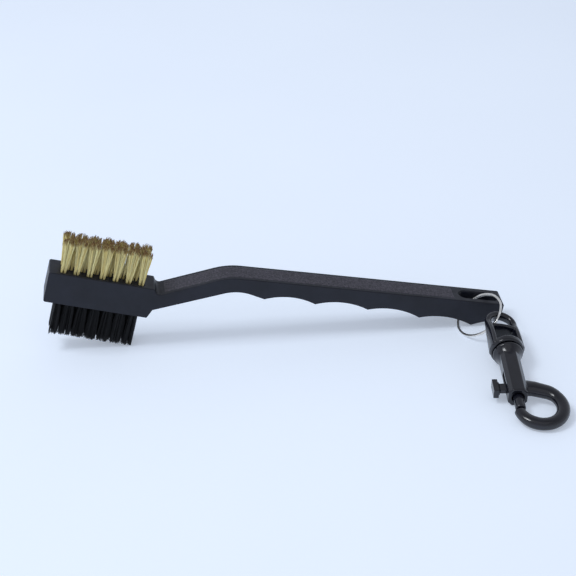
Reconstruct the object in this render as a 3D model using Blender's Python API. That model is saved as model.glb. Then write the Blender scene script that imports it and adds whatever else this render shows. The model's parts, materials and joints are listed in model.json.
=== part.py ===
"""Golf club groove brush with a split ring and a swivelling bolt snap, resting on a table.

Metres, +Z up. The brush lies along X with its head at -X. It stands on the ends of its nylon
tufts, its tail lies over the split ring, and the snap lies in front of the tail. The origin is
at the middle of the bottom of the whole object's box.
"""

import math

import bmesh
import bpy
from mathutils import Matrix, Vector

MM = 0.001
TURN = 2 * math.pi

# Brush body, in its own side view: U runs from head to tail, V runs up from the head's underside.
BODY_WIDTH = 10.2 * MM
HEAD_LENGTH = 38.2 * MM
HEAD_HEIGHT = 12.35 * MM
TAIL_U = 168.2 * MM
TAIL_TOP_V = 30.3 * MM
TAIL_BOTTOM_V = 23.2 * MM
EDGE_ROUNDING = 0.5 * MM
SCALLOP_RISE = 1.9 * MM
TAIL_SCALLOP_RISE = 0.5 * MM

# Slot through the tail for the split ring.
SLOT_START_U = 151.0 * MM
SLOT_END_U = 166.0 * MM
SLOT_WIDTH = 5.2 * MM

# Tufts: rows of 7, 6 and 7 on both faces of the head, the middle row set off by half a pitch.
TUFT_PITCH = 4.7 * MM
TUFT_ROW_SPACING = 2.7 * MM
TUFTS_PER_OUTER_ROW = 7
TUFT_CENTRE_U = 19.2 * MM
HOLE_RADIUS = 1.3 * MM
HOLE_DEPTH = 4.5 * MM
HOLE_FLOOR_GAP = 0.3 * MM
BRASS_LENGTH = 13.4 * MM
NYLON_LENGTH = 13.65 * MM
TUFT_ROOT = (0.98 * MM, 0.7 * MM)
BRASS_CROWN = (2.2 * MM, 1.15 * MM)
NYLON_CROWN = (1.45 * MM, 1.1 * MM)
TUFT_WAIST_PLACE = 0.55
TUFT_WAIST_SPREAD = 0.58

# Split ring: its place relative to the table point under the head's end.
RING_RADIUS = 9.2 * MM
RING_WIRE = 0.42 * MM
RING_CENTRE = Vector((159.9, -7.2, 6.27)) * MM
RING_AXIS = Vector((-0.6025, -0.1538, 0.7832)).normalized()

# Bolt snap. Along its axis S runs from the swivel face towards the hook. Its X is across, its Z up.
SWIVEL_CENTRE = Vector((164.35, -32.9, 6.05)) * MM
SNAP_YAW = math.radians(-4.7)
SNAP_TILT = math.radians(5.9)
EYE_ROLL = math.radians(13.0)
COLLAR_RADIUS = 6.05 * MM
COLLAR_THICKNESS = 2.9 * MM
CAGE_HALF_WIDTH = 4.9 * MM
CROWN_CENTRE_S = -16.4 * MM
CROSSBAR_S = -12.8 * MM
SWIVEL_GAP = 0.35 * MM
STUD_RADIUS = 2.0 * MM
STUD_HEAD_RADIUS = 3.1 * MM
STUD_HOLE_RADIUS = 2.35 * MM
BARREL_START_S = 3.0 * MM
BARREL_END_S = 24.8 * MM
BARREL_HALF_WIDTH = 3.4 * MM
BARREL_HALF_HEIGHT = 3.6 * MM
BARREL_CHAMFER = 1.4 * MM
BORE_RADIUS = 2.2 * MM
BORE_START_S = 6.4 * MM
LOOP_CENTRE = (6.95 * MM, 29.8 * MM)
LOOP_HALF_WIDTH = 7.7 * MM
LOOP_HALF_LENGTH = 8.7 * MM
HOOK_HALF_WIDTH = 2.35 * MM
HOOK_HALF_HEIGHT = 1.95 * MM
BOLT_RADIUS = 1.85 * MM
BOLT_TIP_S = 30.8 * MM
BOLT_REAR_S = 16.6 * MM
BOLT_TRAVEL = 6.0 * MM
STEM_START_S = 17.9 * MM
STEM_LENGTH = 3.6 * MM
STEM_HALF_HEIGHT = 0.8 * MM
SLOT_CLEARANCE = 0.35 * MM
KNOB_INNER_X = -6.1 * MM
KNOB_OUTER_X = -8.2 * MM
KNOB_LENGTH = 6.3 * MM
KNOB_HALF_HEIGHT = 1.75 * MM
SPRING_RADIUS = 1.5 * MM
SPRING_WIRE = 0.24 * MM
SPRING_TURNS = 6
SPRING_END_GAP = 0.3 * MM

# The brush leans on the last nylon tuft's outer corner, and its tail rides on the split ring's wire.
NYLON_CORNER_U = TUFT_CENTRE_U + TUFT_PITCH * (TUFTS_PER_OUTER_ROW - 1) / 2 + NYLON_CROWN[0]
REST_PITCH = math.radians(14.72)
REST_HEIGHT = NYLON_CORNER_U * math.sin(REST_PITCH) + NYLON_LENGTH * math.cos(REST_PITCH)


def clear_scene():
    for item in list(bpy.data.objects):
        bpy.data.objects.remove(item, do_unlink=True)


def material(name, colour, roughness, metallic=0.0):
    made = bpy.data.materials.new(name)
    made.use_nodes = True
    shader = made.node_tree.nodes["Principled BSDF"]
    shader.inputs["Base Color"].default_value = (*colour, 1.0)
    shader.inputs["Roughness"].default_value = roughness
    shader.inputs["Metallic"].default_value = metallic
    made.diffuse_color = (*colour, 1.0)
    return made


def empty(name, parent=None, matrix=None):
    made = bpy.data.objects.new(name, None)
    bpy.context.collection.objects.link(made)
    made.parent = parent
    made.matrix_local = matrix or Matrix.Identity(4)
    return made


def solid(name, bm, parent, finish, smooth=True):
    """Turn a bmesh into a named object with its faces pointing out."""
    bmesh.ops.recalc_face_normals(bm, faces=bm.faces)
    mesh = bpy.data.meshes.new(name)
    bm.to_mesh(mesh)
    bm.free()
    if smooth:
        mesh.shade_smooth()
        mesh.set_sharp_from_angle(angle=math.radians(35))
    if finish:
        mesh.materials.append(finish)
    made = bpy.data.objects.new(name, mesh)
    bpy.context.collection.objects.link(made)
    made.parent = parent
    return made


def helper(name, bm, parent):
    """A solid that only cuts or joins others."""
    made = solid(name, bm, parent, None)
    made.hide_render = True
    made.display_type = "WIRE"
    return made


def combine(target, tool, operation):
    change = target.modifiers.new(tool.name, "BOOLEAN")
    change.operation = operation
    change.object = tool
    change.solver = "EXACT"


def loft(rings):
    """A closed solid through rings of equally many points, with flat ends."""
    bm = bmesh.new()
    rows = [[bm.verts.new(point) for point in ring] for ring in rings]
    for first, second in zip(rows, rows[1:]):
        for i in range(len(first)):
            j = (i + 1) % len(first)
            bm.faces.new((first[i], first[j], second[j], second[i]))
    bm.faces.new(rows[0])
    bm.faces.new(list(reversed(rows[-1])))
    return bm


def closed_loft(rings):
    """A closed solid through rings that come round to the first one again."""
    bm = bmesh.new()
    rows = [[bm.verts.new(point) for point in ring] for ring in rings]
    for k, first in enumerate(rows):
        second = rows[(k + 1) % len(rows)]
        for i in range(len(first)):
            j = (i + 1) % len(first)
            bm.faces.new((first[i], first[j], second[j], second[i]))
    return bm


def turned(profile, sides=24):
    """A solid turned about the snap's axis, from (s, radius) pairs."""
    rings = []
    for s, radius in profile:
        angles = [TURN * (i + 0.5) / sides for i in range(sides)]
        rings.append([(radius * math.cos(a), -s, radius * math.sin(a)) for a in angles])
    return loft(rings)


def block(low, high):
    """A box between two corners."""
    bm = bmesh.new()
    bmesh.ops.create_cube(bm, size=1.0)
    size = Vector(high) - Vector(low)
    middle = (Vector(high) + Vector(low)) / 2
    bmesh.ops.scale(bm, vec=size, verts=bm.verts)
    bmesh.ops.translate(bm, vec=middle, verts=bm.verts)
    return bm


def fillet(before, corner, after, radius, steps):
    """Points of the arc that rounds one corner of an outline."""
    to_before = (before - corner).normalized()
    to_after = (after - corner).normalized()
    half = to_before.angle(to_after) / 2
    reach = radius / math.tan(half)
    start = corner + to_before * reach
    end = corner + to_after * reach
    centre = corner + (to_before + to_after).normalized() * (radius / math.sin(half))
    first = start - centre
    sweep = first.angle_signed(end - centre)
    points = []
    for i in range(steps + 1):
        turn = Matrix.Rotation(-sweep * i / steps, 2)
        points.append(centre + turn @ first)
    return points


def arc_over(start, end, rise, steps):
    """Points between two ends, on an arc that bows to the left of the way between them."""
    chord = end - start
    left = Vector((-chord.y, chord.x)).normalized()
    radius = (chord.length**2 / 4 + rise**2) / (2 * rise)
    centre = (start + end) / 2 - left * (radius - rise)
    half = math.asin(chord.length / 2 / radius)
    points = []
    for i in range(1, steps):
        turn = Matrix.Rotation(half * (1 - 2 * i / steps), 2)
        points.append(centre + turn @ left * radius)
    return points


def body_outline():
    """The brush body's side view, counter-clockwise from the head's lower left corner."""
    def point(u, v):
        return Vector((u, v)) * MM

    head_low_left = point(0, 0)
    head_low_right = point(37.8, 0)
    neck_start = point(39.2, 3.6)
    neck_end = point(68.0, 17.55)
    cusps = [point(78.3, 15.65), point(97.3, 17.05), point(117.2, 18.45), point(137.3, 18.7)]
    cusps += [point(157.8, 19.25)]
    tail_low = Vector((TAIL_U, TAIL_BOTTOM_V))
    tail_top = Vector((TAIL_U - 0.6 * MM, TAIL_TOP_V))
    shoulder = point(63.54, 22.17)
    valley = point(39.6, 9.95)
    head_top_right = Vector((HEAD_LENGTH, HEAD_HEIGHT))
    head_top_left = Vector((0, HEAD_HEIGHT))
    corner = 0.7 * MM

    outline = fillet(head_top_left, head_low_left, head_low_right, corner, 3)
    outline += fillet(head_low_left, head_low_right, neck_start, 0.5 * MM, 2)
    outline += [neck_start]
    outline += fillet(neck_start, neck_end, cusps[0], 16 * MM, 6)
    outline += [cusps[0]]
    for start, end in zip(cusps, cusps[1:]):
        outline += arc_over(start, end, SCALLOP_RISE, 8) + [end]
    outline += arc_over(cusps[-1], tail_low, TAIL_SCALLOP_RISE, 4)
    outline += fillet(cusps[-1], tail_low, tail_top, 0.4 * MM, 2)
    outline += fillet(tail_low, tail_top, shoulder, 0.6 * MM, 3)
    outline += fillet(tail_top, shoulder, valley, 25 * MM, 6)
    outline += fillet(shoulder, valley, head_top_right, 1.7 * MM, 5)
    outline += fillet(valley, head_top_right, head_top_left, 0.5 * MM, 3)
    outline += fillet(head_top_right, head_top_left, head_low_left, corner, 3)
    return outline


def tuft_places():
    """(u, w) of each tuft, front row first, each row from the head's end to the neck."""
    places = []
    for row, count in enumerate((TUFTS_PER_OUTER_ROW, TUFTS_PER_OUTER_ROW - 1, TUFTS_PER_OUTER_ROW)):
        w = (row - 1) * TUFT_ROW_SPACING
        for i in range(count):
            places.append((TUFT_CENTRE_U + (i - (count - 1) / 2) * TUFT_PITCH, w))
    return places


def make_body(parent, finish):
    outline = body_outline()
    rings = [[(p.x, w, p.y) for p in outline] for w in (-BODY_WIDTH / 2, BODY_WIDTH / 2)]
    body = solid("brush_body", loft(rings), parent, finish)
    edges = body.modifiers.new("edge rounding", "BEVEL")
    edges.width = EDGE_ROUNDING
    edges.segments = 2
    edges.limit_method = "ANGLE"
    edges.angle_limit = math.radians(60)

    end_radius = SLOT_WIDTH / 2
    slot = []
    for centre, start in ((SLOT_END_U - end_radius, -0.25), (SLOT_START_U + end_radius, 0.25)):
        for i in range(9):
            angle = TURN * (start + i / 16)
            slot.append((centre + end_radius * math.cos(angle), end_radius * math.sin(angle)))
    rings = [[(u, w, v) for u, w in slot] for v in (15 * MM, 35 * MM)]
    combine(body, helper("ring slot cutter", loft(rings), parent), "DIFFERENCE")

    holes = bmesh.new()
    for u, w in tuft_places():
        for low in (-1 * MM, HEAD_HEIGHT - HOLE_DEPTH):
            high = low + HOLE_DEPTH + 1 * MM
            place = Matrix.Translation((u, w, (low + high) / 2))
            bmesh.ops.create_cone(
                holes, cap_ends=True, segments=10, radius1=HOLE_RADIUS, radius2=HOLE_RADIUS,
                depth=high - low, matrix=place,
            )
    combine(body, helper("tuft hole cutter", holes, parent), "DIFFERENCE")
    return body


def make_tufts(parent, kind, finish, face_v, up, length, crown):
    """One solid for each folded bundle of wires, from its root in the hole to its crown."""
    root_depth = HOLE_DEPTH - HOLE_FLOOR_GAP
    waist = tuple(r + TUFT_WAIST_SPREAD * (c - r) for r, c in zip(TUFT_ROOT, crown))
    levels = ((-root_depth, TUFT_ROOT), (0.0, TUFT_ROOT), (length * TUFT_WAIST_PLACE, waist), (length, crown))
    for number, (u, w) in enumerate(tuft_places(), 1):
        rings = []
        for height, (half_u, half_w) in levels:
            ring = []
            for i in range(8):
                angle = TURN * (i + 0.5) / 8
                across = (half_u * math.cos(angle) / math.cos(TURN / 16), half_w * math.sin(angle))
                ring.append((u + across[0], w + across[1], face_v + up * height))
            rings.append(ring)
        solid(f"{kind}_tuft_{number:02d}", loft(rings), parent, finish)


def make_ring(parent, finish):
    rings = []
    for i in range(48):
        angle = TURN * i / 48
        ring = []
        for k in range(8):
            around = TURN * (k + 0.5) / 8
            radius = RING_RADIUS + RING_WIRE * math.cos(around)
            ring.append((radius * math.cos(angle), radius * math.sin(angle), RING_WIRE * math.sin(around)))
        rings.append(ring)
    return solid("split_ring", closed_loft(rings), parent, finish)


def oval_section(centre, along, half_width, half_height, sides=12):
    """An oval ring across a path that lies in the snap's X-S plane."""
    across = Vector((along.y, -along.x)).normalized()
    ring = []
    for i in range(sides):
        angle = TURN * (i + 0.5) / sides
        spot = centre + across * (half_width * math.cos(angle))
        ring.append((spot.x, -spot.y, half_height * math.sin(angle)))
    return ring


def swept(path, half_widths, half_heights, sides=12):
    """A bar of oval section along a path of (x, s) points."""
    rings = []
    for i, centre in enumerate(path):
        before = path[max(i - 1, 0)]
        after = path[min(i + 1, len(path) - 1)]
        rings.append(oval_section(centre, after - before, half_widths[i], half_heights[i], sides))
    return loft(rings)


def make_eye(parent, finish):
    """The swivel eye: a cage of two legs on a collar, a crossbar, and a crown for the ring."""
    foot_s = -1.0 * MM
    path = [Vector((-5.0 * MM, foot_s)), Vector((-CAGE_HALF_WIDTH, -6 * MM))]
    path += [Vector((-CAGE_HALF_WIDTH, s * MM)) for s in (-10, -14)]
    for i in range(15):
        angle = math.pi * i / 14
        across = -CAGE_HALF_WIDTH * math.cos(angle)
        path.append(Vector((across, CROWN_CENTRE_S - CAGE_HALF_WIDTH * math.sin(angle))))
    path += [Vector((-p.x, p.y)) for p in reversed(path[:4])]
    widths = [1.2 * MM] * len(path)
    leg_heights = [3.3 * MM, 3.2 * MM, 2.9 * MM, 2.0 * MM]
    heights = leg_heights + [1.4 * MM] * (len(path) - 8) + leg_heights[::-1]
    eye = solid("swivel_eye", swept(path, widths, heights, 10), parent, finish)

    collar = turned([
        (-COLLAR_THICKNESS, COLLAR_RADIUS - 0.5 * MM),
        (-COLLAR_THICKNESS + 0.5 * MM, COLLAR_RADIUS),
        (-0.4 * MM, COLLAR_RADIUS),
        (0.0, COLLAR_RADIUS - 0.4 * MM),
    ])
    combine(eye, helper("eye collar", collar, parent), "UNION")
    bar_ends = [Vector((-CAGE_HALF_WIDTH, CROSSBAR_S)), Vector((CAGE_HALF_WIDTH, CROSSBAR_S))]
    bar = swept(bar_ends, [0.85 * MM] * 2, [2.75 * MM] * 2, 12)
    combine(eye, helper("eye crossbar", bar, parent), "UNION")
    hole = turned([(-COLLAR_THICKNESS - 1 * MM, STUD_HOLE_RADIUS), (1 * MM, STUD_HOLE_RADIUS)], 20)
    combine(eye, helper("eye stud hole", hole, parent), "DIFFERENCE")
    return eye


def hook_path():
    """Centre line of the hook: an arm off the barrel, then most of an ellipse to the nose."""
    centre_x, centre_s = LOOP_CENTRE
    path = [Vector((1.5 * MM, 19.6 * MM)), Vector((6.0 * MM, 20.2 * MM))]
    first, last, steps = math.radians(62), math.radians(-167), 20
    for i in range(steps + 1):
        angle = first + (last - first) * i / steps
        across = centre_x + LOOP_HALF_WIDTH * math.cos(angle)
        path.append(Vector((across, centre_s - LOOP_HALF_LENGTH * math.sin(angle))))
    return path


def barrel_bar():
    """The eight-sided barrel: a square bar with its long corners cut off."""
    rings = []
    for s, inset in ((BARREL_START_S, 0.0), (BARREL_END_S - 0.4 * MM, 0.0), (BARREL_END_S, 0.4 * MM)):
        x = BARREL_HALF_WIDTH - inset
        z = BARREL_HALF_HEIGHT - inset
        cut = BARREL_CHAMFER
        outline = [(x, z - cut), (x - cut, z), (cut - x, z), (-x, z - cut)]
        outline += [(-a, -b) for a, b in outline]
        rings.append([(a, -s, b) for a, b in outline])
    return loft(rings)


def make_hook(parent, finish):
    """The hook body: swivel stud, flange, eight-sided barrel and hook in one moulding."""
    hook = solid("hook_body", barrel_bar(), parent, finish)
    flange = turned([
        (SWIVEL_GAP, 5.0 * MM),
        (SWIVEL_GAP + 0.4 * MM, 5.4 * MM),
        (SWIVEL_GAP + 1.1 * MM, 5.4 * MM),
        (2.0 * MM, 5.0 * MM),
        (2.9 * MM, 4.4 * MM),
        (4.2 * MM, 3.9 * MM),
        (8.2 * MM, 3.2 * MM),
    ])
    combine(hook, helper("hook flange", flange, parent), "UNION")
    stud_back = -COLLAR_THICKNESS - SWIVEL_GAP
    stud = turned([
        (stud_back - 2.4 * MM, STUD_HEAD_RADIUS - 0.8 * MM),
        (stud_back - 1.6 * MM, STUD_HEAD_RADIUS),
        (stud_back, STUD_HEAD_RADIUS),
        (stud_back + 0.01 * MM, STUD_RADIUS),
        (2.0 * MM, STUD_RADIUS),
    ], 20)
    combine(hook, helper("swivel stud", stud, parent), "UNION")

    path = hook_path()
    count = len(path)
    widths = [max(HOOK_HALF_WIDTH, 3.5 * MM - 0.35 * MM * i) for i in range(count)]
    heights = [HOOK_HALF_HEIGHT + max(0.0, 0.3 * MM - 0.1 * MM * i) for i in range(count)]
    for back, scale in ((1, 0.86), (2, 0.97)):
        widths[-back] *= scale
        heights[-back] *= scale
    combine(hook, helper("hook loop", swept(path, widths, heights), parent), "UNION")

    bore = turned([(BORE_START_S, BORE_RADIUS), (BARREL_END_S + 3 * MM, BORE_RADIUS)], 16)
    combine(hook, helper("bolt bore", bore, parent), "DIFFERENCE")
    slot = block(
        (-6 * MM, -(STEM_START_S + STEM_LENGTH + SLOT_CLEARANCE), -STEM_HALF_HEIGHT - SLOT_CLEARANCE),
        (0, -(STEM_START_S - BOLT_TRAVEL - SLOT_CLEARANCE), STEM_HALF_HEIGHT + SLOT_CLEARANCE),
    )
    combine(hook, helper("trigger slot", slot, parent), "DIFFERENCE")
    return hook


def make_bolt(parent, finish):
    """The trigger: a round bolt, and a thumb knob on a flat stem."""
    bolt = turned([
        (BOLT_REAR_S, BOLT_RADIUS - 0.3 * MM),
        (BOLT_REAR_S + 0.3 * MM, BOLT_RADIUS),
        (BOLT_TIP_S - 0.5 * MM, BOLT_RADIUS),
        (BOLT_TIP_S, BOLT_RADIUS - 0.4 * MM),
    ], 16)
    trigger = solid("trigger_bolt", bolt, parent, finish)
    stem = block(
        (KNOB_OUTER_X + 0.5 * MM, -(STEM_START_S + STEM_LENGTH), -STEM_HALF_HEIGHT),
        (-0.8 * MM, -STEM_START_S, STEM_HALF_HEIGHT),
    )
    combine(trigger, helper("trigger stem", stem, parent), "UNION")
    knob_start = STEM_START_S + (STEM_LENGTH - KNOB_LENGTH) / 2
    knob = block(
        (KNOB_OUTER_X, -(knob_start + KNOB_LENGTH), -KNOB_HALF_HEIGHT),
        (KNOB_INNER_X, -knob_start, KNOB_HALF_HEIGHT),
    )
    combine(trigger, helper("trigger knob", knob, parent), "UNION")
    return trigger


def make_spring(parent, finish):
    """The compression spring behind the bolt, one wire wound on a helix."""
    start = BORE_START_S + SPRING_END_GAP + SPRING_WIRE
    length = BOLT_REAR_S - SPRING_END_GAP - SPRING_WIRE - start
    steps_per_turn = 14
    count = SPRING_TURNS * steps_per_turn
    rings = []
    for i in range(count + 1):
        angle = TURN * i / steps_per_turn
        outward = Vector((math.cos(angle), 0, math.sin(angle)))
        centre = outward * SPRING_RADIUS - Vector((0, start + length * i / count, 0))
        ring = []
        for k in range(6):
            around = TURN * k / 6
            along = Vector((0, SPRING_WIRE * math.sin(around), 0))
            ring.append(centre + outward * (SPRING_WIRE * math.cos(around)) + along)
        rings.append(ring)
    return solid("bolt_spring", loft(rings), parent, finish)


def stand_on_origin(assembly):
    """Move the assembly so that the middle of its box's bottom is at the origin."""
    bpy.context.view_layer.update()
    depsgraph = bpy.context.evaluated_depsgraph_get()
    corners = []
    for item in bpy.data.objects:
        if item.type == "MESH" and not item.hide_render:
            shown = item.evaluated_get(depsgraph)
            corners += [item.matrix_world @ v.co for v in shown.data.vertices]
    low = Vector(min(c[i] for c in corners) for i in range(3))
    high = Vector(max(c[i] for c in corners) for i in range(3))
    assembly.location = (-(low.x + high.x) / 2, -(low.y + high.y) / 2, -low.z)


def main():
    clear_scene()
    black_plastic = material("black moulded plastic", (0.022, 0.023, 0.027), 0.42)
    black_acetal = material("black acetal", (0.015, 0.016, 0.018), 0.3)
    brass = material("brass wire", (0.62, 0.52, 0.25), 0.42, 0.8)
    nylon = material("black nylon", (0.012, 0.012, 0.014), 0.5)
    nickel = material("nickel plated steel", (0.75, 0.74, 0.71), 0.2, 1.0)
    spring_steel = material("spring steel", (0.5, 0.5, 0.5), 0.3, 1.0)

    assembly = empty("assembly")
    lean = Matrix.Translation((0, 0, REST_HEIGHT)) @ Matrix.Rotation(REST_PITCH, 4, "Y")
    brush = empty("brush frame", assembly, lean)
    make_body(brush, black_plastic)
    make_tufts(brush, "brass", brass, HEAD_HEIGHT, 1, BRASS_LENGTH, BRASS_CROWN)
    make_tufts(brush, "nylon", nylon, 0.0, -1, NYLON_LENGTH, NYLON_CROWN)

    ring_turn = RING_AXIS.to_track_quat("Z", "Y").to_matrix().to_4x4()
    ring_frame = empty("ring frame", assembly, Matrix.Translation(RING_CENTRE) @ ring_turn)
    make_ring(ring_frame, nickel)

    snap_turn = Matrix.Rotation(SNAP_YAW, 4, "Z") @ Matrix.Rotation(SNAP_TILT, 4, "X")
    snap_frame = empty("snap frame", assembly, Matrix.Translation(SWIVEL_CENTRE) @ snap_turn)
    eye_frame = empty("eye frame", snap_frame, Matrix.Rotation(EYE_ROLL, 4, "Y"))
    make_eye(eye_frame, black_acetal)
    make_hook(snap_frame, black_acetal)
    make_bolt(snap_frame, black_acetal)
    make_spring(snap_frame, spring_steel)
    stand_on_origin(assembly)


main()
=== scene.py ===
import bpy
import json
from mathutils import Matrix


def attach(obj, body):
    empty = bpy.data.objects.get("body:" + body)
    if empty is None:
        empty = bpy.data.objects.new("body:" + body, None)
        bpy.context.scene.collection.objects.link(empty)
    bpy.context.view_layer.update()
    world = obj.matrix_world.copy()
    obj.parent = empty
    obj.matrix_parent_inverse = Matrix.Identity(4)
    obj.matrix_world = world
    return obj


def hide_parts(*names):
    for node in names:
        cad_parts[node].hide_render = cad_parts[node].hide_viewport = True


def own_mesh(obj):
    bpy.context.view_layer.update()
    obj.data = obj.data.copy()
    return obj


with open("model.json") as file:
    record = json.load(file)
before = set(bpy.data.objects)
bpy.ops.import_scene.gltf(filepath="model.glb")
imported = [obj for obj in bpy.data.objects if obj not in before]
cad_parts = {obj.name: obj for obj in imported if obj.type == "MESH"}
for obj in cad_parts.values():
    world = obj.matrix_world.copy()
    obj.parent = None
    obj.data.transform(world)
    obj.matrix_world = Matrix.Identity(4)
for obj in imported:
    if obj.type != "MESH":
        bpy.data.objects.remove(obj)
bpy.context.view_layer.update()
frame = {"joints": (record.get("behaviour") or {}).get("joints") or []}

import json
import math

import bmesh
import bpy
import numpy as np
from mathutils import Matrix, Vector

MM = 0.001
TURN = 2 * math.pi
JOINTS = {joint["name"]: joint for joint in frame["joints"]}

# ---------------------------------------------------------------- places, as in the CAD source
# The brush is drawn in millimetres (u, w, v): u from the head's end to the tail, w across, v up. The
# snap's axis is its own -y, and s is the distance along that axis from the swivel.

ORIGIN = Vector((-89.445, 34.4338, 0.0391)) * MM
HEAD_LENGTH, HEAD_HEIGHT, BODY_WIDTH = 38.2, 12.35, 10.2
TAIL_U, TAIL_TOP_V, TAIL_BOTTOM_V = 168.2, 30.3, 23.2
SLOT_START_U, SLOT_END_U, SLOT_WIDTH = 151.0, 166.0, 5.2
TUFT_PITCH, TUFT_ROW_SPACING, TUFTS_PER_OUTER_ROW, TUFT_CENTRE_U = 4.7, 2.7, 7, 19.2
HOLE_RADIUS, HOLE_DEPTH = 1.3, 4.5
NYLON_LENGTH, NYLON_CROWN_U = 13.65, 1.45
NYLON_CORNER_U = TUFT_CENTRE_U + TUFT_PITCH * (TUFTS_PER_OUTER_ROW - 1) / 2 + NYLON_CROWN_U
REST_PITCH = math.radians(14.72)
REST_HEIGHT = NYLON_CORNER_U * math.sin(REST_PITCH) + NYLON_LENGTH * math.cos(REST_PITCH)
BRUSH = (Matrix.Translation(ORIGIN + Vector((0, 0, REST_HEIGHT * MM)))
         @ Matrix.Rotation(REST_PITCH, 4, "Y"))

RING_CENTRE = Vector(JOINTS["ring_turn"]["pos_m"])
RING_AXIS = Vector(JOINTS["ring_turn"]["axis"]).normalized()
RING_RADIUS = 9.2
RING = Matrix.Translation(RING_CENTRE) @ RING_AXIS.to_track_quat("Z", "Y").to_matrix().to_4x4()

SWIVEL_CENTRE = Vector(JOINTS["swivel"]["pos_m"])
SNAP_YAW, SNAP_PITCH, EYE_ROLL = math.radians(-4.7), math.radians(5.9), math.radians(13.0)
SNAP = (Matrix.Translation(SWIVEL_CENTRE) @ Matrix.Rotation(SNAP_YAW, 4, "Z")
        @ Matrix.Rotation(SNAP_PITCH, 4, "X"))
EYE = SNAP @ Matrix.Rotation(EYE_ROLL, 4, "Y")

# ---------------------------------------------------------------- mesh helpers: millimetres in


def mesh_of(name, points, faces):
    mesh = bpy.data.meshes.new(name)
    mesh.from_pydata([tuple(float(c) * MM for c in p) for p in points], [], faces)
    mesh.validate()
    mesh.update()
    mesh.shade_smooth()
    return mesh


def place(name, mesh, matrix, body, replaced, material):
    """Put a finished mesh in the scene as a piece that rides on a CAD body."""
    mesh.transform(matrix)
    piece = bpy.data.objects.new(name, mesh)
    bpy.context.scene.collection.objects.link(piece)
    mesh.materials.clear()
    mesh.materials.append(material)
    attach(piece, body)
    if replaced:
        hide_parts(*replaced)
    return piece


def loft_faces(rows, size, closed=False, capped=True):
    """Faces between rows of equally many points; closed joins the last row to the first."""
    faces = []
    for k in range(rows if closed else rows - 1):
        a, b = k * size, (k + 1) % rows * size
        for i in range(size):
            j = (i + 1) % size
            faces.append((a + i, a + j, b + j, b + i))
    if capped and not closed:
        faces.append(tuple(range(size))[::-1])
        faces.append(tuple(range((rows - 1) * size, rows * size)))
    return faces


def shape(rings, closed=False):
    """A bmesh through rings of equally many points, faces pointing out."""
    bm = bmesh.new()
    verts = [bm.verts.new([float(c) * MM for c in p]) for ring in rings for p in ring]
    for face in loft_faces(len(rings), len(rings[0]), closed):
        bm.faces.new([verts[i] for i in face])
    bmesh.ops.recalc_face_normals(bm, faces=bm.faces)
    return bm


def turned(profile, sides=96, closed=False):
    """A bmesh turned about the snap's axis, from (s, radius) pairs; s runs along local -Y."""
    rings = []
    for s, radius in profile:
        rings.append([(radius * math.cos(TURN * i / sides), -s, radius * math.sin(TURN * i / sides))
                      for i in range(sides)])
    return shape(rings, closed)


def box(low, high):
    x0, y0, z0 = low
    x1, y1, z1 = high
    return shape([[(x0, y0, z0), (x1, y0, z0), (x1, y0, z1), (x0, y0, z1)],
                  [(x0, y1, z0), (x1, y1, z0), (x1, y1, z1), (x0, y1, z1)]])


def superoval(t, half_a, half_b, power):
    """A point of a rounded rectangle: power 2 is an ellipse, and more is squarer."""
    c, s = math.cos(t), math.sin(t)
    return (half_a * math.copysign(abs(c) ** (2 / power), c),
            half_b * math.copysign(abs(s) ** (2 / power), s))


def swept(path, halves, sides, power):
    """A bmesh bar along (x, s) points in the snap's plane, with half sizes (across, up) at each."""
    rings = []
    for i, (x, s) in enumerate(path):
        x0, s0 = path[max(i - 1, 0)]
        x1, s1 = path[min(i + 1, len(path) - 1)]
        along = Vector((x1 - x0, s1 - s0)).normalized()
        ring = []
        for k in range(sides):
            a, b = superoval(TURN * (k + 0.5) / sides, halves[i][0], halves[i][1], power)
            ring.append((x + along.y * a, -(s - along.x * a), b))
        rings.append(ring)
    return shape(rings)


def mesh_from(name, bm):
    mesh = bpy.data.meshes.new(name)
    bm.to_mesh(mesh)
    bm.free()
    return mesh


def temporary(name, bm):
    """An object that exists only while modifiers are worked out on it or with it."""
    made = bpy.data.objects.new(name, mesh_from(name, bm))
    bpy.context.scene.collection.objects.link(made)
    return made


def evaluated_mesh(made, name):
    bpy.context.view_layer.update()
    graph = bpy.context.evaluated_depsgraph_get()
    mesh = bpy.data.meshes.new_from_object(made.evaluated_get(graph), depsgraph=graph)
    mesh.name = name
    return mesh


def add_boolean(target, tool, operation):
    step = target.modifiers.new("cut", "BOOLEAN")
    step.operation = operation
    step.object = tool
    step.solver = "EXACT"


def remove_all(objects):
    for made in objects:
        bpy.data.objects.remove(made, do_unlink=True)


def moulded(name, base, joined, cut, voxel, passes):
    """One smooth moulding: solids joined and cut, then remeshed and relaxed to soften corners."""
    target = temporary(name, base)
    tools = []
    for operation, group in (("UNION", joined), ("DIFFERENCE", cut)):
        for bm in group:
            tools.append(temporary(name + " tool", bm))
            add_boolean(target, tools[-1], operation)
    remesh = target.modifiers.new("remesh", "REMESH")
    remesh.mode = "VOXEL"
    remesh.voxel_size = voxel * MM
    relax = target.modifiers.new("relax", "SMOOTH")
    relax.factor = 0.5
    relax.iterations = passes
    mesh = evaluated_mesh(target, name)
    remove_all([target, *tools])
    mesh.shade_smooth()
    return mesh


# ---------------------------------------------------------------- materials


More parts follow.
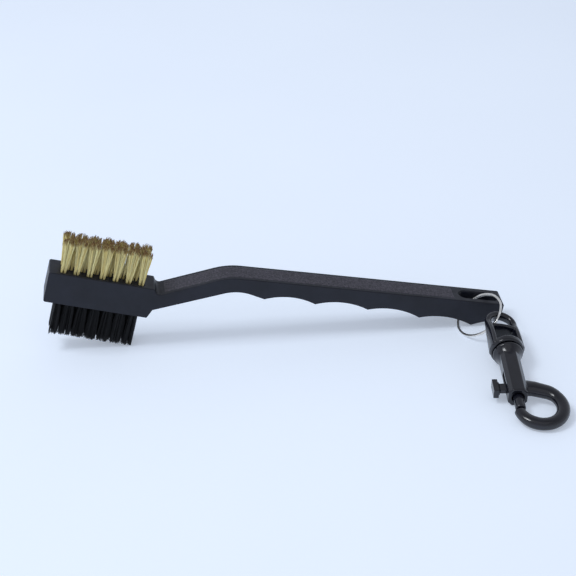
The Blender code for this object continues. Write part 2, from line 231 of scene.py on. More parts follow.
class Nodes:
    """A small builder for one material's node tree. Textures are placed in object millimetres."""

    def __init__(self, name, colour, roughness, metallic=0.0):
        self.material = bpy.data.materials.new(name)
        self.material.use_nodes = True
        self.tree = self.material.node_tree
        self.shader = self.tree.nodes["Principled BSDF"]
        self.shader.inputs["Base Color"].default_value = (*colour, 1)
        self.shader.inputs["Roughness"].default_value = roughness
        self.shader.inputs["Metallic"].default_value = metallic
        self.material.diffuse_color = (*colour, 1)
        coordinates = self.tree.nodes.new("ShaderNodeTexCoord")
        scaled = self.tree.nodes.new("ShaderNodeMapping")
        scaled.inputs["Scale"].default_value = (1 / MM, 1 / MM, 1 / MM)
        self.tree.links.new(coordinates.outputs["Object"], scaled.inputs["Vector"])
        self.place = scaled.outputs["Vector"]

    def link(self, output, socket):
        self.tree.links.new(output, socket)

    def noise(self, per_mm, detail):
        texture = self.tree.nodes.new("ShaderNodeTexNoise")
        texture.inputs["Scale"].default_value = per_mm
        texture.inputs["Detail"].default_value = detail
        texture.inputs["Roughness"].default_value = 0.5
        self.link(self.place, texture.inputs["Vector"])
        return texture.outputs["Fac"]

    def cells(self, per_mm):
        texture = self.tree.nodes.new("ShaderNodeTexVoronoi")
        texture.inputs["Scale"].default_value = per_mm
        self.link(self.place, texture.inputs["Vector"])
        return texture.outputs["Distance"]

    def ramp(self, value, stops):
        node = self.tree.nodes.new("ShaderNodeValToRGB")
        elements = node.color_ramp.elements
        for element, (position, colour) in zip(elements, (stops[0], stops[-1])):
            element.position = position
            element.color = (*colour, 1)
        for position, colour in stops[1:-1]:
            element = elements.new(position)
            element.color = (*colour, 1)
        self.link(value, node.inputs["Fac"])
        return node.outputs["Color"]

    def span(self, value, low, high, start=0.3, end=0.7):
        """A number that goes from low to high as value goes from start to end."""
        node = self.tree.nodes.new("ShaderNodeMapRange")
        node.inputs["From Min"].default_value = start
        node.inputs["From Max"].default_value = end
        node.inputs["To Min"].default_value = low
        node.inputs["To Max"].default_value = high
        self.link(value, node.inputs["Value"])
        return node.outputs["Result"]

    def attribute(self, name):
        node = self.tree.nodes.new("ShaderNodeAttribute")
        node.attribute_name = name
        return node.outputs["Fac"]

    def mixed(self, factor, first, second):
        node = self.tree.nodes.new("ShaderNodeMix")
        node.data_type = "RGBA"
        self.link(factor, node.inputs["Factor"])
        for socket, value in (("A", first), ("B", second)):
            target = [i for i in node.inputs if i.name == socket and i.type == "RGBA"][0]
            if isinstance(value, tuple):
                target.default_value = (*value, 1)
            else:
                self.link(value, target)
        return [o for o in node.outputs if o.type == "RGBA"][0]

    def bump(self, height, depth_mm, strength):
        node = self.tree.nodes.new("ShaderNodeBump")
        node.inputs["Strength"].default_value = strength
        node.inputs["Distance"].default_value = depth_mm * MM
        self.link(height, node.inputs["Height"])
        previous = self.shader.inputs["Normal"]
        if previous.is_linked:
            self.link(previous.links[0].from_socket, node.inputs["Normal"])
        self.link(node.outputs["Normal"], previous)

    def colour(self, output):
        self.link(output, self.shader.inputs["Base Color"])

    def roughness(self, output):
        self.link(output, self.shader.inputs["Roughness"])


def body_plastic():
    """Satin black moulding: faint flow mottling and a very fine spark-eroded texture."""
    made = Nodes("body plastic", (0.012, 0.0125, 0.016), 0.42)
    made.shader.inputs["Specular IOR Level"].default_value = 0.3
    made.colour(made.ramp(made.noise(0.12, 4), [(0.3, (0.0075, 0.0086, 0.0145)),
                                                (0.7, (0.012, 0.0138, 0.0232))]))
    made.roughness(made.span(made.noise(0.35, 5), 0.36, 0.5))
    made.bump(made.noise(5.0, 2), 0.012, 0.6)
    made.bump(made.noise(0.25, 2), 0.06, 0.35)
    return made.material


def grained_plastic():
    """The handle's upper face: pebbled like leather, duller than the sides. Its colour follows the
    pebble height: painted shade in the creases between pebbles and a painted highlight on their
    tops.
    """
    made = Nodes("grained plastic", (0.02, 0.019, 0.022), 0.55)
    made.shader.inputs["Specular IOR Level"].default_value = 0.65
    height = made.attribute("grain")
    # painted shade in the creases between pebbles and a painted highlight on their tops, taken from
    # the pebble height
    pebbles = made.ramp(height, [(0.0, (0.005, 0.0042, 0.0085)), (1.0, (0.036, 0.033, 0.05))])
    # lighter bluish-grey patches across the face, placed by noise
    lighter_bluish_patches = made.span(made.noise(1.1, 4), 0.0, 0.55, 0.42, 0.68)
    made.colour(made.mixed(lighter_bluish_patches, pebbles, (0.085, 0.076, 0.108)))
    made.roughness(made.span(made.noise(1.2, 4), 0.45, 0.6))
    made.bump(made.cells(2.6), 0.03, 0.5)
    made.bump(made.noise(6.0, 2), 0.012, 0.5)
    return made.material


def acetal():
    """The snap: denser, shinier black with soft sink and handling marks."""
    made = Nodes("black acetal", (0.011, 0.011, 0.0135), 0.22)
    made.shader.inputs["Specular IOR Level"].default_value = 0.62
    made.colour(made.ramp(made.noise(0.25, 3), [(0.3, (0.005, 0.0054, 0.0095)),
                                                (0.7, (0.008, 0.0086, 0.0155))]))
    made.roughness(made.span(made.noise(0.6, 5), 0.12, 0.22))
    made.bump(made.noise(0.45, 2), 0.05, 0.35)
    made.bump(made.noise(4.0, 2), 0.006, 0.5)
    return made.material


def brass_wire():
    """Pale olive brass that browns towards each cut end, with a tone of its own for every wire."""
    made = Nodes("brass wire", (0.5, 0.43, 0.2), 0.4, 0.08)
    made.shader.inputs["Specular IOR Level"].default_value = 0.25
    tone = made.mixed(made.attribute("tone"), (0.84, 0.68, 0.25), (1.0, 0.95, 0.55))
    root = made.mixed(made.attribute("root"), tone, (0.9, 0.77, 0.36))
    streak = made.span(made.noise(0.5, 3), 0.0, 0.15)
    worn = made.mixed(streak, root, (0.3, 0.21, 0.06))
    made.colour(made.mixed(made.attribute("tip"), worn, (0.12, 0.034, 0.005)))
    made.roughness(made.span(made.noise(2.0, 3), 0.34, 0.52))
    return made.material


def nylon_filament():
    """Black nylon, with a slightly different shade for every filament."""
    made = Nodes("nylon filament", (0.007, 0.007, 0.008), 0.45)
    made.shader.inputs["Specular IOR Level"].default_value = 0.2
    made.colour(made.mixed(made.attribute("tone"), (0.004, 0.004, 0.005), (0.011, 0.0115, 0.013)))
    made.roughness(made.span(made.noise(1.5, 3), 0.34, 0.5))
    return made.material


def nickel():
    """Bright nickel plate with fine rubbing marks round the ring and a little tarnish."""
    made = Nodes("nickel plate", (0.76, 0.75, 0.72), 0.16, 1.0)
    made.colour(made.ramp(made.noise(0.6, 4), [(0.3, (0.78, 0.76, 0.72)),
                                               (0.65, (0.95, 0.94, 0.92))]))
    made.roughness(made.span(made.noise(2.5, 5), 0.12, 0.3))
    made.bump(made.noise(7.0, 3), 0.006, 0.5)
    return made.material


def spring_wire():
    """Plain steel, hardly seen inside the barrel."""
    made = Nodes("spring wire", (0.5, 0.5, 0.5), 0.3, 1.0)
    made.colour(made.ramp(made.noise(1.0, 3), [(0.3, (0.42, 0.42, 0.43)),
                                               (0.7, (0.6, 0.59, 0.57))]))
    made.roughness(made.span(made.noise(3.0, 4), 0.22, 0.42))
    return made.material


def table_top():
    """A pale table that glows a little, so that shadows on it stay light."""
    made = Nodes("table top", (0.72, 0.79, 0.92), 0.7)
    shade = made.ramp(made.noise(0.004, 3), [(0.35, (0.715, 0.785, 0.895)),
                                             (0.65, (0.735, 0.805, 0.915))])
    made.colour(shade)
    made.link(shade, made.shader.inputs["Emission Color"])
    made.shader.inputs["Emission Strength"].default_value = 0.35
    made.shader.inputs["Specular IOR Level"].default_value = 0.2
    return made.material


# ---------------------------------------------------------------- brush body


def fillet(before, corner, after, radius, steps):
    """Points of the arc that rounds one corner of an outline."""
    to_before = (before - corner).normalized()
    to_after = (after - corner).normalized()
    half = to_before.angle(to_after) / 2
    start = corner + to_before * (radius / math.tan(half))
    end = corner + to_after * (radius / math.tan(half))
    centre = corner + (to_before + to_after).normalized() * (radius / math.sin(half))
    sweep = (start - centre).angle_signed(end - centre)
    return [centre + Matrix.Rotation(-sweep * i / steps, 2) @ (start - centre)
            for i in range(steps + 1)]


def arc_over(start, end, rise, steps):
    """Points between two ends, on an arc that bows to the left of the way between them."""
    chord = end - start
    left = Vector((-chord.y, chord.x)).normalized()
    radius = (chord.length**2 / 4 + rise**2) / (2 * rise)
    centre = (start + end) / 2 - left * (radius - rise)
    half = math.asin(chord.length / 2 / radius)
    return [centre + Matrix.Rotation(half * (1 - 2 * i / steps), 2) @ left * radius
            for i in range(1, steps)]


NECK_END = Vector((68.0, 17.55))
SCALLOP_ENDS = [Vector(p) for p in ((78.3, 15.65), (97.3, 17.05), (117.2, 18.45), (137.3, 18.7),
                                    (157.8, 19.25))]
SCALLOP_RISE, TAIL_SCALLOP_RISE = 1.9, 0.5
TAIL_LOW = Vector((TAIL_U, TAIL_BOTTOM_V))
TAIL_TOP = Vector((TAIL_U - 0.6, TAIL_TOP_V))
SHOULDER = Vector((63.54, 22.17))
VALLEY = Vector((39.6, 9.95))
HEAD_TOP_RIGHT = Vector((HEAD_LENGTH, HEAD_HEIGHT))


def top_line():
    """The handle's upper face in the side view, from the tail to the head's step."""
    points = fillet(TAIL_LOW, TAIL_TOP, SHOULDER, 0.6, 6)
    points += fillet(TAIL_TOP, SHOULDER, VALLEY, 25, 24)
    points += fillet(SHOULDER, VALLEY, HEAD_TOP_RIGHT, 1.7, 10)
    return points


def body_outline():
    """The whole side view, head to tail and back, as (u, v)."""
    low_left, low_right, neck = Vector((0, 0)), Vector((37.8, 0)), Vector((39.2, 3.6))
    top_left = Vector((0, HEAD_HEIGHT))
    outline = fillet(top_left, low_left, low_right, 0.7, 6)
    outline += fillet(low_left, low_right, neck, 0.5, 4)
    outline += [neck]
    outline += fillet(neck, NECK_END, SCALLOP_ENDS[0], 16, 20)
    outline += [SCALLOP_ENDS[0]]
    for start, end in zip(SCALLOP_ENDS, SCALLOP_ENDS[1:]):
        outline += arc_over(start, end, SCALLOP_RISE, 24) + [end]
    outline += arc_over(SCALLOP_ENDS[-1], TAIL_LOW, TAIL_SCALLOP_RISE, 12)
    outline += fillet(SCALLOP_ENDS[-1], TAIL_LOW, TAIL_TOP, 0.4, 4)
    outline += top_line()
    outline += fillet(VALLEY, HEAD_TOP_RIGHT, top_left, 0.5, 6)
    outline += fillet(HEAD_TOP_RIGHT, top_left, low_left, 0.7, 6)
    return outline


def tuft_places():
    """(u, w) of each tuft: three rows, the middle one shorter by a tuft and staggered."""
    places = []
    outer = TUFTS_PER_OUTER_ROW
    for row, count in enumerate((outer, outer - 1, outer)):
        for i in range(count):
            u = TUFT_CENTRE_U + (i - (count - 1) / 2) * TUFT_PITCH
            places.append((u, (row - 1) * TUFT_ROW_SPACING))
    return places


def height_over_table(u):
    """Length of a line from the head's lower face at u down to the table, square to the head."""
    return (REST_HEIGHT - u * math.sin(REST_PITCH)) / math.cos(REST_PITCH)


def top_height(u):
    """Height of the handle's straight upper face at u."""
    share = (u - SHOULDER.x) / (TAIL_TOP.x - SHOULDER.x)
    return SHOULDER.y + share * (TAIL_TOP.y - SHOULDER.y)


def slot_cutter():
    """The tail's slot, with a lip that opens out where it meets the upper face."""
    levels = ((3.0, 0.42), (0.05, 0.42), (-0.12, 0.2), (-0.4, 0.04), (-0.7, 0.0), (-14.0, 0.0))
    half, steps = SLOT_WIDTH / 2, 16
    rings = []
    for offset, grow in levels:
        radius = half + grow
        ring = []
        for centre, start in ((SLOT_END_U - half, -0.25), (SLOT_START_U + half, 0.25)):
            for i in range(steps + 1):
                angle = TURN * (start + i / (2 * steps))
                u = centre + radius * math.cos(angle)
                ring.append((u, radius * math.sin(angle), top_height(u) + offset))
        rings.append(ring)
    return shape(rings)


def hole_cutters():
    """Round tuft holes from both faces of the head, each cutter reaching 1 mm past its face."""
    bm = bmesh.new()
    past = 1
    for u, w in tuft_places():
        for low in (-past, HEAD_HEIGHT - HOLE_DEPTH):
            high = low + HOLE_DEPTH + past
            spot = Matrix.Translation(Vector((u, w, (low + high) / 2)) * MM)
            bmesh.ops.create_cone(bm, cap_ends=True, segments=20, radius1=HOLE_RADIUS * MM,
                                  radius2=HOLE_RADIUS * MM, depth=(high - low) * MM, matrix=spot)
    return bm


def make_body(material):
    outline = body_outline()
    rings = [[(p.x, w, p.y) for p in outline] for w in (-BODY_WIDTH / 2, BODY_WIDTH / 2)]
    target = temporary("body blank", shape(rings))
    edges = target.modifiers.new("edges", "BEVEL")
    edges.width = 0.55 * MM
    edges.segments = 5
    edges.limit_method = "ANGLE"
    edges.angle_limit = math.radians(50)
    tools = [temporary("tool", slot_cutter()), temporary("tool", hole_cutters())]
    for tool in tools:
        add_boolean(target, tool, "DIFFERENCE")
    mesh = evaluated_mesh(target, "brush_body_shell")
    remove_all([target, *tools])
    mesh.shade_smooth()
    mesh.set_sharp_from_angle(angle=math.radians(38))
    body = place("brush_body_shell", mesh, BRUSH, "brush", ["brush_body"],
                 material)
    normals = body.modifiers.new("normals", "WEIGHTED_NORMAL")
    normals.keep_sharp = True
    normals.weight = 100
    return body


def cell_heights(along, across, size, seed):
    """Pebble heights 0..1 on a grid, from the border between the two nearest cell centres."""
    local = np.random.default_rng(seed)
    rows = int(along.max() / size) + 4
    columns = int((across.max() - across.min()) / size) + 5
    jitter = local.uniform(0.12, 0.88, (rows, columns, 2))
    a0, c0 = -size, across.min() - size
    cell_a = ((along - a0) / size).astype(int)
    cell_c = ((across - c0) / size).astype(int)
    near = np.full(along.shape, 9.0)
    second = np.full(along.shape, 9.0)
    for da in (-1, 0, 1):
        for dc in (-1, 0, 1):
            i = np.clip(cell_a + da, 0, rows - 1)
            j = np.clip(cell_c + dc, 0, columns - 1)
            pa = a0 + (i + jitter[i, j, 0]) * size
            pc = c0 + (j + jitter[i, j, 1]) * size
            distance = np.hypot(along - pa, across - pc) / size
            second = np.minimum(second, np.maximum(near, distance))
            near = np.minimum(near, distance)
    edge = np.clip((second - near) / 0.42, 0, 1)
    return edge * edge * (3 - 2 * edge)


GRIP_START, GRIP_END_U, GRIP_HALF_WIDTH, GRIP_SPACING = 3.6, 148.6, 3.95, 0.2
GRIP_SUNK, GRIP_RISE, GRAIN_DEPTH, GRIP_FADE, GRIP_THICKNESS = 0.08, 0.085, 0.15, 0.35, 0.4


def make_grip(material):
    """The grained face of the handle: a thin closed pad whose upper side carries the pebbles.

    Its rim is sunk in the body, so that only the pebbled part stands out.
    """
    line = np.array([(p.x, p.y) for p in reversed(top_line())])
    steps = np.hypot(*np.diff(line, axis=0).T)
    reach = np.concatenate([[0], np.cumsum(steps)])
    start, stop, half = GRIP_START, np.interp(GRIP_END_U, line[:, 0], reach), GRIP_HALF_WIDTH
    lengths = np.arange(start, stop, GRIP_SPACING)
    widths = np.linspace(-half, half, 41)
    along, across = np.meshgrid(lengths, widths, indexing="ij")
    u = np.interp(lengths, reach, line[:, 0])
    v = np.interp(lengths, reach, line[:, 1])
    tangent = np.stack([np.gradient(u), np.gradient(v)], 1)
    tangent /= np.linalg.norm(tangent, axis=1)[:, None]
    grain = 0.75 * cell_heights(along, across, 0.95, 3) + 0.25 * cell_heights(along, across, 0.5, 4)
    border = np.minimum(np.minimum(along - start, stop - along), half - np.abs(across))
    fade = np.clip(border / GRIP_FADE, 0, 1)
    height = -GRIP_SUNK + fade * (GRIP_RISE + GRAIN_DEPTH * grain)
    rows, columns = along.shape
    top = np.stack([u[:, None] - tangent[:, 1:] * height, across,
                    v[:, None] + tangent[:, :1] * height], -1)
    low = np.stack([u[:, None] + tangent[:, 1:] * GRIP_THICKNESS + 0 * across, across,
                    v[:, None] - tangent[:, :1] * GRIP_THICKNESS + 0 * across], -1)
    points = np.concatenate([top.reshape(-1, 3), low.reshape(-1, 3)])
    number = np.arange(rows * columns).reshape(rows, columns)
    quads = np.stack([number[:-1, :-1], number[1:, :-1], number[1:, 1:], number[:-1, 1:]], -1)
    quads = quads.reshape(-1, 4)
    faces = [tuple(q) for q in quads[:, ::-1].tolist()]
    faces += [tuple(q) for q in (quads + rows * columns).tolist()]
    rim = [*number[0, :], *number[1:, -1], *number[-1, -2::-1], *number[-2:0:-1, 0]]
    for a, b in zip(rim, rim[1:] + rim[:1]):
        faces.append((int(a), int(b), int(b) + rows * columns, int(a) + rows * columns))
    mesh = mesh_of("grip_grain", points, faces)
    values = mesh.attributes.new("grain", "FLOAT", "POINT")
    both = np.concatenate([(grain * fade).ravel(), np.zeros(rows * columns)])
    values.data.foreach_set("value", both.astype(np.float32))
    make_consistent(mesh)
    return place("grip_grain", mesh, BRUSH, "brush", [], material)


def make_consistent(mesh):
    bm = bmesh.new()
    bm.from_mesh(mesh)
    bmesh.ops.recalc_face_normals(bm, faces=bm.faces)
    bm.to_mesh(mesh)
    bm.free()


# ---------------------------------------------------------------- tufts


def wire_tubes(name, paths, radius, sides, values):
    """Closed round wires along equally long paths, with one float attribute per path point."""
    count, length, _ = paths.shape
    along = np.gradient(paths, axis=1)
    along /= np.linalg.norm(along, axis=2)[..., None]
    first = np.cross(along, np.array([0.13, 0.97, 0.2]))
    first /= np.linalg.norm(first, axis=2)[..., None]
    second = np.cross(along, first)
    turn = TURN * np.arange(sides) / sides
    swell = np.ones(length)
    swell[[0, -1]] = 0.72
    ring = first[:, :, None] * np.cos(turn)[:, None] + second[:, :, None] * np.sin(turn)[:, None]
    points = paths[:, :, None] + ring * (radius * swell)[None, :, None, None]
    one = np.array(loft_faces(length, sides, capped=False))
    starts = np.arange(count) * length * sides
    faces = (one[None] + starts[:, None, None]).reshape(-1, 4).tolist()
    for k in range(count):
        base = k * length * sides
        faces.append(list(range(base, base + sides))[::-1])
        faces.append(list(range(base + (length - 1) * sides, base + length * sides)))
    mesh = mesh_of(name, points.reshape(-1, 3), faces)
    for key, value in values.items():
        data = mesh.attributes.new(key, "FLOAT", "POINT")
        data.data.foreach_set("value", np.repeat(value.reshape(-1), sides).astype(np.float32))
    make_consistent(mesh)
    return mesh


def bundle(kind, number, u, w, style, material):
    """One folded bundle: each wire comes up one side of the hole and its other end up the other."""
    wires = style["wires"]
    local = np.random.default_rng(1000 * (kind == "nylon") + number)
    paths, tips, roots = [], [], []
    lift = np.linspace(1, 0, style["rings"])
    for k in range(wires):
        radius, turn = math.sqrt(local.uniform(0, 1)), local.uniform(0, TURN)
        ends = []
        for side in (-1, 1):
            root = np.array([side * style["leg"] + style["leg_size"][0] * radius * math.cos(turn),
                             style["leg_size"][1] * radius * math.sin(turn) * side])
            spread = root / np.array([style["leg"] + style["leg_size"][0], style["leg_size"][1]])
            spread[0] = side * (1 + radius * math.cos(turn) * side) / 2
            closed = spread * np.array([style["leg"] + style["leg_size"][0], style["leg_size"][1]])
            tip = spread * np.array(style["crown"]) + local.normal(0, style["stray"], 2)
            tip = np.clip(tip, -np.array(style["limit"]), np.array(style["limit"]))
            tip[0] = np.clip(u + tip[0], *style["reach"]) - u
            crown = 1 - min(1.0, float(np.hypot(*spread)))
            length = style["length"](u) + style["peak"] * crown + local.normal(0, style["ragged"])
            stain = style["stain"] * (0.25 + 0.85 * crown) * local.uniform(0.6, 1.4)
            length = min(length, style["most"](u))
            wave = local.uniform(0, TURN, 2)
            heading = local.uniform(0, TURN)
            points = []
            for t in lift:
                bend = t ** style["fan"]
                sway = style["wave"] * t * math.sin(wave[0] + TURN * t * length / 3.1)
                sway += 0.5 * style["wave"] * t * math.sin(wave[1] + TURN * t * length / 1.7)
                join = min(1.0, t / style["parting"])
                foot = root + (closed - root) * join * join * (3 - 2 * join)
                points.append((u + foot[0] + (tip[0] - closed[0]) * bend + sway * math.cos(heading),
                               w + foot[1] + (tip[1] - closed[1]) * bend + sway * math.sin(heading),
                               style["face"] + style["up"] * t * length))
            ends.append((points, length, root, stain))
        floor = style["face"] - style["up"] * (HOLE_DEPTH - 0.5)
        bottom = []
        for angle in np.linspace(0, math.pi, 4):
            across = ends[0][2] * (1 + math.cos(angle)) / 2 + ends[1][2] * (1 - math.cos(angle)) / 2
            bottom.append((u + across[0] * 0.85, w + across[1] * 0.6,
                           floor + style["up"] * 0.7 * (1 - math.sin(angle))))
        paths.append(ends[0][0] + bottom + ends[1][0][::-1])
        for_tip, for_root = [], []
        for _, length, _, stain in ends:
            for_tip.append(np.clip((lift * length - length + stain) / (0.5 * stain), 0, 1))
            for_root.append(np.clip(1 - lift * length / 4.0, 0, 1))
        tips.append(np.concatenate([for_tip[0], np.zeros(4), for_tip[1][::-1]]))
        roots.append(np.concatenate([for_root[0], np.ones(4), for_root[1][::-1]]))
    tones = np.repeat(local.uniform(0, 1, wires)[:, None], len(paths[0]), axis=1)
    values = {"tip": np.array(tips), "root": np.array(roots), "tone": tones}
    name = f"{kind}_bristles_{number:02d}"
    mesh = wire_tubes(name, np.array(paths), style["radius"], style["sides"], values)
    return place(name, mesh, BRUSH, "brush", [f"{kind}_tuft_{number:02d}"], material)


# Lengths in millimetres. leg: how far each half of a bundle stands from the hole's middle, with
# leg_size its half sizes; crown: half sizes of the bundle's top, kept within limit (w and u) and
# reach (u of the whole head); stray, wave, ragged: how uneven the wires are; peak: how much longer
# the middle ones are; stain: how far the browned end reaches; fan and parting: how the wires open.
BRASS = {
    "wires": 54, "rings": 10, "radius": 0.09, "sides": 4, "leg": 0.56, "leg_size": (0.38, 0.78),
    "crown": (2.2, 1.25), "limit": (2.5, 1.55), "reach": (2.6, 34.9), "stray": 0.16, "fan": 1.1,
    "parting": 0.22, "wave": 0.09, "length": lambda u: 12.35, "most": lambda u: 13.9, "peak": 1.15,
    "ragged": 0.32, "stain": 1.25, "face": HEAD_HEIGHT, "up": 1,
}
NYLON = {
    "wires": 60, "rings": 7, "radius": 0.12, "sides": 4, "leg": 0.66, "leg_size": (0.6, 1.0),
    "crown": (2.25, 1.15), "limit": (2.45, 1.4), "reach": (4.4, 34.7), "stray": 0.13, "fan": 0.4,
    "parting": 0.1, "wave": 0.05, "length": lambda u: 13.25,
    "most": lambda u: min(14.0, height_over_table(u + 1.9) + 0.12),
    "peak": 0.4, "ragged": 0.24, "stain": 1.0, "face": 0.0, "up": -1,
}


def make_tufts():
    """Every bundle has a seed of its own, so that none depends on the ones before it."""
    brass, nylon = brass_wire(), nylon_filament()
    for number, (u, w) in enumerate(tuft_places(), 1):
        bundle("brass", number, u, w, BRASS, brass)
        bundle("nylon", number, u, w, NYLON, nylon)


# ---------------------------------------------------------------- split ring


def make_ring(material):
    """Two flat coils of one wire, lying on each other, with square-cut ends."""
    start, turns, steps = math.radians(100), 1.78, 220
    half_wide, half_thick, layer = 0.42, 0.2, 0.215
    crossing, crossing_length = 0.86, 0.08
    rings = []
    for i in range(steps + 1):
        travelled = turns * i / steps
        angle = start + TURN * travelled
        shift = np.clip((travelled - crossing) / crossing_length, 0, 1)
        level = layer * (1 - 2 * (shift * shift * (3 - 2 * shift)))
        ring = []
        for k in range(16):
            a, b = superoval(TURN * (k + 0.5) / 16, half_wide, half_thick, 4.0)
            radius = RING_RADIUS + a
            ring.append((radius * math.cos(angle), radius * math.sin(angle), level + b))
        rings.append(ring)
    mesh = mesh_from("split_ring_coils", shape(rings))
    mesh.shade_smooth()
    mesh.set_sharp_from_angle(angle=math.radians(50))
    return place("split_ring_coils", mesh, RING, "ring", ["split_ring"], material)


# ---------------------------------------------------------------- snap

CAGE_HALF_WIDTH, CROWN_CENTRE_S, CROSSBAR_S = 4.9, -16.4, -12.8
COLLAR_RADIUS, COLLAR_THICKNESS, COLLAR_BORE = 6.05, 2.9, 2.35
LOOP_CENTRE, LOOP_HALF_WIDTH, LOOP_HALF_LENGTH = (6.95, 29.8), 7.7, 8.7
LOOP_START_DEG, LOOP_SWEEP_DEG, LOOP_STEPS, NOSE_STEPS = 62, 229, 60, 12
HOOK_HALF_WIDTH, HOOK_HALF_HEIGHT = 2.35, 1.95
BORE_START_S, BOLT_BACK_S = 6.4, 16.6


# (x, s, half size across, half size up) down one leg of the cage, from collar to crown
CAGE_LEG = [(-5.0, -1.0, 1.25, 3.3), (-4.95, -3.5, 1.25, 3.25), (-4.9, -6, 1.25, 3.15),
            (-4.9, -8, 1.22, 3.0), (-4.9, -10, 1.2, 2.8), (-4.9, -12, 1.2, 2.45),
            (-4.9, -14, 1.2, 2.0), (-4.9, -15.2, 1.2, 1.65)]
CROWN_STEPS = 32


def make_eye(material):
    """The swivel eye: two legs and a round crown, a crossbar with a wall behind, and the collar."""
    path, halves = [], []
    for x, s, a, b in CAGE_LEG:
        path.append((x, s))
        halves.append((a, b))
    for i in range(CROWN_STEPS + 1):
        angle = math.pi * i / CROWN_STEPS
        path.append((-CAGE_HALF_WIDTH * math.cos(angle),
                     CROWN_CENTRE_S - CAGE_HALF_WIDTH * math.sin(angle)))
        halves.append((1.2, 1.42 + 0.3 * math.sin(angle)))
    for x, s, a, b in reversed(CAGE_LEG):
        path.append((-x, s))
        halves.append((a, b))
    cage = swept(path, halves, 32, 2.3)
    rim, back = COLLAR_RADIUS, -COLLAR_THICKNESS
    collar = turned([(back, COLLAR_BORE), (back, rim - 0.7), (back + 0.25, rim - 0.2),
                     (back + 0.7, rim), (-0.75, rim), (-0.3, rim - 0.12), (0.0, rim - 0.45),
                     (0.0, 5.35), (-0.35, 5.2), (-0.35, COLLAR_BORE)], 128, closed=True)
    places = np.linspace(-CAGE_HALF_WIDTH, CAGE_HALF_WIDTH, 15)
    bar = swept([(x, CROSSBAR_S) for x in places],
                [(0.85, 2.75 - 0.028 * x * x) for x in places], 28, 2.8)
    wall = box((-4.7, -CROSSBAR_S - 0.7, -3.5), (4.7, -CROSSBAR_S + 0.7, 0.5))
    hole = turned([(-COLLAR_THICKNESS - 0.6, COLLAR_BORE), (0.6, COLLAR_BORE)], 64)
    mesh = moulded("swivel_eye_moulding", cage, [collar, bar, wall], [hole], 0.15, 5)
    return place("swivel_eye_moulding", mesh, EYE, "eye", ["swivel_eye"],
                 material)


def barrel_bar():
    """The barrel: an eight-sided bar with softened ends."""
    rings = []
    for s, inset in ((3.0, 0.35), (3.5, 0.0), (24.35, 0.0), (24.65, 0.12), (24.8, 0.4)):
        x, z, cut = 3.4 - inset, 3.6 - inset, 1.4
        outline = [(x, z - cut), (x - cut, z), (cut - x, z), (-x, z - cut)]
        outline += [(-a, -b) for a, b in outline]
        rings.append([(a, -s, b) for a, b in outline])
    return shape(rings)


def make_hook(material):
    """Stud, flange, barrel and the open loop, which is thickest where it leaves the barrel."""
    flange = turned([(0.35, 5.0), (0.5, 5.3), (0.8, 5.4), (1.35, 5.4), (1.6, 5.25), (2.1, 4.85),
                     (2.9, 4.4), (4.2, 3.85), (6.0, 3.45), (8.2, 3.15)], 96)
    stud = turned([(-5.65, 2.3), (-5.2, 2.85), (-4.85, 3.05), (-3.25, 3.1), (-3.24, 2.0),
                   (2.0, 2.0)], 64)
    path = [(1.5, 19.6), (3.8, 19.8), (6.0, 20.2)]
    halves = [(3.5, 2.25), (3.3, 2.2), (3.1, 2.15)]
    for i in range(LOOP_STEPS + 1):
        angle = math.radians(LOOP_START_DEG - LOOP_SWEEP_DEG * i / LOOP_STEPS)
        path.append((LOOP_CENTRE[0] + LOOP_HALF_WIDTH * math.cos(angle),
                     LOOP_CENTRE[1] - LOOP_HALF_LENGTH * math.sin(angle)))
        wide = HOOK_HALF_WIDTH + max(0.0, 0.5 - 0.07 * i)
        high = HOOK_HALF_HEIGHT + max(0.0, 0.15 - 0.02 * i)
        nose = 1 - 0.17 * max(0.0, (i - LOOP_STEPS + NOSE_STEPS) / NOSE_STEPS)
        halves.append((wide * nose, high * nose))
    loop = swept(path, halves, 36, 2.15)
    bore = turned([(BORE_START_S, 2.2), (28.0, 2.2)], 48)
    slot = box((-6, -21.85, -1.15), (0, -11.55, 1.15))
    mesh = moulded("hook_moulding", barrel_bar(), [flange, stud, loop], [bore, slot], 0.16, 5)
    return place("hook_moulding", mesh, SNAP, "hook", ["hook_body"], material)


def make_trigger(material):
    """The bolt, with a stem through the barrel's slot and a knob on it."""
    bolt = turned([(BOLT_BACK_S, 1.5), (16.75, 1.75), (16.95, 1.85), (30.3, 1.85), (30.6, 1.75),
                   (30.8, 1.45)], 48)
    stem = box((-7.7, -21.5, -0.8), (-0.8, -17.9, 0.8))
    knob = box((-8.2, -22.85, -1.75), (-6.3, -16.55, 1.75))
    step = box((-6.6, -21.9, -1.15), (-5.85, -17.5, 1.15))
    mesh = moulded("trigger_moulding", bolt, [stem, knob, step], [], 0.13, 5)
    return place("trigger_moulding", mesh, SNAP, "trigger", ["trigger_bolt"],
                 material)


def make_spring(material):
    """A coil between the bore's end and the bolt, its turns evenly spaced."""
    wire, gap, radius, turns, steps, sides = 0.24, 0.3, 1.5, 6, 36, 10
    start, end = BORE_START_S + gap + wire, BOLT_BACK_S - gap - wire
    rings = []
    for i in range(turns * steps + 1):
        angle = TURN * i / steps
        s = start + (end - start) * i / (turns * steps)
        ring = []
        for k in range(sides):
            around = TURN * k / sides
            reach = radius + wire * math.cos(around)
            ring.append((reach * math.cos(angle), -(s + wire * math.sin(around)),
                         reach * math.sin(angle)))
        rings.append(ring)
    mesh = mesh_from("bolt_spring_coil", shape(rings))
    mesh.shade_smooth()
    spring = place("bolt_spring_coil", mesh, SNAP, "hook", ["bolt_spring"],
                   material)
    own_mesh(spring)
    return spring


# ---------------------------------------------------------------- table, light and camera


TABLE_HALF, TABLE_THICKNESS = 3000, 20


def make_table():
    """The table the object stands on, wide enough to fill the picture."""
    floor = temporary("table_top", box((-TABLE_HALF, -TABLE_HALF, -TABLE_THICKNESS),
                                       (TABLE_HALF, TABLE_HALF, 0)))
    floor.data.materials.append(table_top())


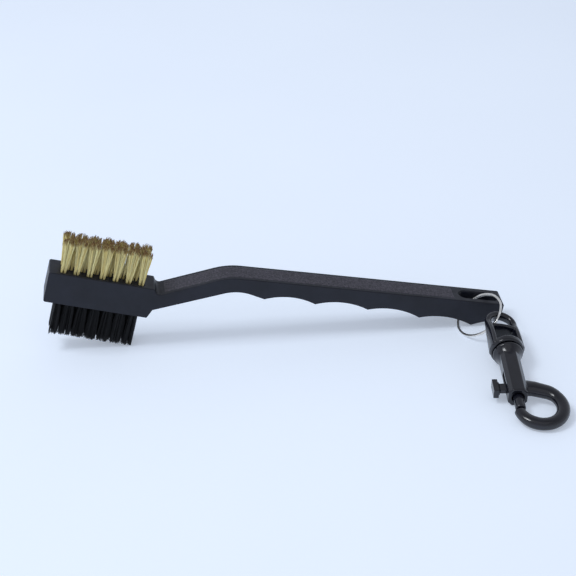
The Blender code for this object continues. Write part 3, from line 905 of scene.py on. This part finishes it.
def area_light(name, location, target, size, energy, colour):
    data = bpy.data.lights.new(name, "AREA")
    data.shape = "RECTANGLE"
    data.size, data.size_y = size
    data.energy = energy
    data.color = colour
    light = bpy.data.objects.new(name, data)
    bpy.context.scene.collection.objects.link(light)
    light.location = location
    light.rotation_euler = (Vector(target) - Vector(location)).to_track_quat("-Z", "Y").to_euler()


# Colour of the room by the height of the direction looked in: 0 is level and 1 is overhead
ROOM = [(0.0, (0.72, 0.77, 0.87)), (0.95, (0.27, 0.28, 0.3))]
# name, place, what it points at, size, watts, colour
LIGHTS = [
    ("softbox", (-0.15, -0.25, 1.1), (0, 0, 0), (1.3, 0.9), 1.0, (0.97, 0.985, 1.0)),
    ("window", (-0.55, 0.0, 0.9), (0, 0, 0.02), (0.34, 0.34), 3.6, (0.93, 0.965, 1.0)),
]


def make_lights():
    """A pale room, bright at table level and dim overhead, with a softbox and a window."""
    world = bpy.data.worlds.new("studio")
    world.use_nodes = True
    tree = world.node_tree
    background = tree.nodes["Background"]
    background.inputs["Strength"].default_value = 1.0
    direction = tree.nodes.new("ShaderNodeTexCoord")
    split = tree.nodes.new("ShaderNodeSeparateXYZ")
    tree.links.new(direction.outputs["Generated"], split.inputs["Vector"])
    height = tree.nodes.new("ShaderNodeValToRGB")
    for element, (position, colour) in zip(height.color_ramp.elements, ROOM):
        element.position = position
        element.color = (*colour, 1)
    tree.links.new(split.outputs["Z"], height.inputs["Fac"])
    tree.links.new(height.outputs["Color"], background.inputs["Color"])
    bpy.context.scene.world = world
    for light in LIGHTS:
        area_light(*light)


CAMERA_LENS, CAMERA_SENSOR = 93.75, 36
CAMERA_PLACE = (-0.055227, -0.435904, 0.302401)
CAMERA_TILT, CAMERA_HEADING = math.radians(59.067), math.radians(-6.637)


def make_camera():
    """The camera that was fitted to the picture, lens and sensor in millimetres."""
    data = bpy.data.cameras.new("camera")
    data.lens = CAMERA_LENS
    data.sensor_width = CAMERA_SENSOR
    camera = bpy.data.objects.new("camera", data)
    bpy.context.scene.collection.objects.link(camera)
    camera.location = CAMERA_PLACE
    camera.rotation_euler = (CAMERA_TILT, 0, CAMERA_HEADING)
    bpy.context.scene.camera = camera
    bpy.context.scene.view_settings.view_transform = "Standard"


make_camera()
make_body(body_plastic())
make_grip(grained_plastic())
make_tufts()
make_ring(nickel())
snap_plastic = acetal()
make_eye(snap_plastic)
make_hook(snap_plastic)
make_trigger(snap_plastic)
make_spring(spring_wire())
make_table()
make_lights()
